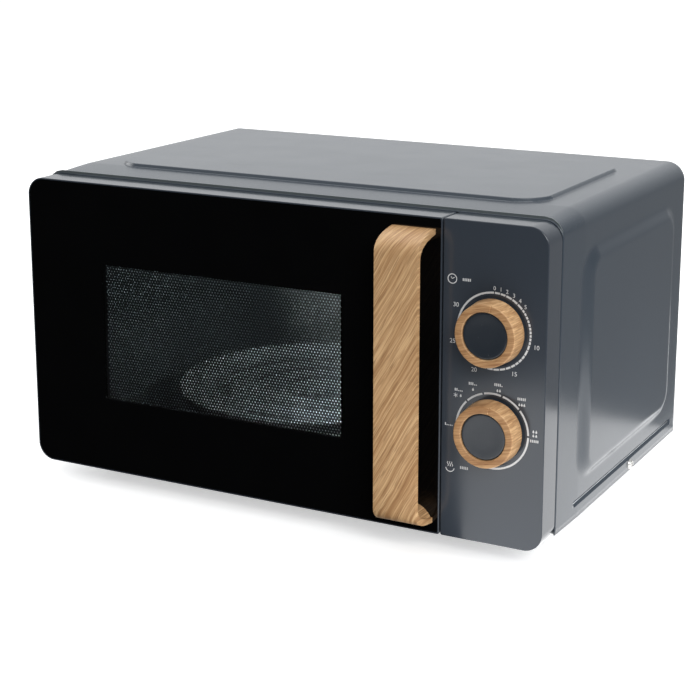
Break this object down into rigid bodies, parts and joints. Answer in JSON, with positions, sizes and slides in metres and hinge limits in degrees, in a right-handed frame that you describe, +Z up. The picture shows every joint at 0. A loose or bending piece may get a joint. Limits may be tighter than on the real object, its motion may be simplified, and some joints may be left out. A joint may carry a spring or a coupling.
{
  "type": "microwave oven",
  "caption": "Countertop microwave oven with a side-hinged glass door, wooden pull handle, turntable and rotary timer and power dials.",
  "frame": {"origin": "centre of the overall box, at the level of the feet", "axes": "+X to the right seen from the front (dial side), +Y towards the rear panel, +Z up"},
  "size_m": [0.4616, 0.342, 0.259],
  "materials": {
    "grey_paint": "satin powder coat",
    "grey_plastic": "satin gloss",
    "dial_grey": "gloss",
    "oak": "light oak, matt lacquer",
    "black_glass": "high gloss, printed border round a clear window",
    "clear_glass": "clear",
    "clear_film": "clear",
    "cavity_paint": "grey enamel",
    "zinc_steel": "zinc plated",
    "bright_steel": "bright",
    "laminated_steel": "varnished laminations",
    "copper": "enamelled copper winding",
    "aluminium": "plain",
    "black_plastic": "moulded",
    "white_plastic": "moulded",
    "mica": "mica sheet",
    "rubber": "moulded",
    "circuit_board": "paper laminate",
    "red_wire": "silicone insulation"
  },
  "bodies": {
    "cabinet": {"outer_casing": "grey_paint", "rear_panel": "grey_paint", "base_plate": "zinc_steel", "foot_front_left": "rubber", "foot_front_right": "rubber", "foot_rear_left": "rubber", "foot_rear_right": "rubber", "cord_grommet": "rubber", "casing_screw_left": "bright_steel", "casing_screw_right": "bright_steel", "cavity_front_plate": "cavity_paint", "oven_cavity": "cavity_paint", "waveguide": "zinc_steel", "waveguide_cover": "mica", "cavity_lamp": "white_plastic", "turntable_motor": "zinc_steel", "magnetron_yoke": "zinc_steel", "magnetron_fins": "aluminium", "transformer_core": "laminated_steel", "primary_winding": "copper", "secondary_winding": "copper", "high_voltage_capacitor": "aluminium", "high_voltage_lead": "red_wire", "fan_shroud": "black_plastic", "fan_motor": "laminated_steel", "air_guide": "black_plastic", "filter_board": "circuit_board", "control_panel": "grey_plastic", "timer_unit": "white_plastic", "timer_bell": "bright_steel", "power_selector": "white_plastic", "hinge_upper": "zinc_steel", "hinge_lower": "zinc_steel", "interlock_bracket": "black_plastic", "microswitch_upper": "black_plastic", "microswitch_middle": "black_plastic", "microswitch_lower": "black_plastic"},
    "door": {"door_frame": "grey_plastic", "door_glass": "black_glass", "door_screen_panel": "black_plastic", "door_inner_film": "clear_film", "choke_cover": "black_plastic", "door_handle": "oak", "handle_screw_upper": "bright_steel", "handle_screw_lower": "bright_steel"},
    "latch": {"latch_hooks": "white_plastic", "latch_spring": "bright_steel"},
    "timer_dial": {"timer_knob_ring": "oak", "timer_knob_cap": "dial_grey", "timer_spindle": "bright_steel"},
    "power_dial": {"power_knob_ring": "oak", "power_knob_cap": "dial_grey", "power_spindle": "bright_steel"},
    "turntable": {"glass_tray": "clear_glass", "turntable_coupler": "white_plastic"},
    "roller_carrier": {"roller_ring": "white_plastic"},
    "roller_a": {"roller_1": "white_plastic"},
    "roller_b": {"roller_2": "white_plastic"},
    "roller_c": {"roller_3": "white_plastic"},
    "fan": {"fan_blade": "white_plastic"}
  },
  "joints": [
    {"name": "door_hinge", "type": "hinge", "parent": "cabinet", "child": "door", "pos_m": [-0.2145, -0.1281, 0.1333], "axis": [0, 0, -1], "range_deg": [0, 95]},
    {"name": "latch_slide", "type": "slide", "parent": "door", "child": "latch", "axis": [0, 0, 1], "range_m": [0, 0.004], "stiffness_N_per_m": 150, "springref_m": -0.01, "deforming": ["latch_spring"]},
    {"name": "timer_turn", "type": "hinge", "parent": "cabinet", "child": "timer_dial", "pos_m": [0.1853, -0.142, 0.1746], "axis": [0, 1, 0], "range_deg": [0, 300]},
    {"name": "power_turn", "type": "hinge", "parent": "cabinet", "child": "power_dial", "pos_m": [0.1853, -0.142, 0.1006], "axis": [0, 1, 0], "range_deg": [-102, 78]},
    {"name": "turntable_turn", "type": "hinge", "parent": "cabinet", "child": "turntable", "pos_m": [-0.0465, 0.022, 0.051], "axis": [0, 0, 1], "continuous": true},
    {"name": "roller_ring_turn", "type": "hinge", "parent": "cabinet", "child": "roller_carrier", "pos_m": [-0.0465, 0.022, 0.0435], "axis": [0, 0, 1], "continuous": true},
    {"name": "roller_a_turn", "type": "hinge", "parent": "roller_carrier", "child": "roller_a", "pos_m": [-0.0465, 0.111, 0.0435], "axis": [0, 1, 0], "continuous": true},
    {"name": "roller_b_turn", "type": "hinge", "parent": "roller_carrier", "child": "roller_b", "pos_m": [-0.12358, -0.0225, 0.0435], "axis": [-0.866, -0.5, 0], "continuous": true},
    {"name": "roller_c_turn", "type": "hinge", "parent": "roller_carrier", "child": "roller_c", "pos_m": [0.03058, -0.0225, 0.0435], "axis": [0.866, -0.5, 0], "continuous": true},
    {"name": "fan_turn", "type": "hinge", "parent": "cabinet", "child": "fan", "pos_m": [0.168, 0.14, 0.159], "axis": [0, 1, 0], "continuous": true}
  ],
  "couplings": [
    {"joint": "roller_ring_turn", "follows": "turntable_turn", "ratio": 0.5},
    {"joint": "roller_a_turn", "follows": "turntable_turn", "ratio": -6.1806},
    {"joint": "roller_b_turn", "follows": "turntable_turn", "ratio": -6.1806},
    {"joint": "roller_c_turn", "follows": "turntable_turn", "ratio": -6.1806}
  ]
}
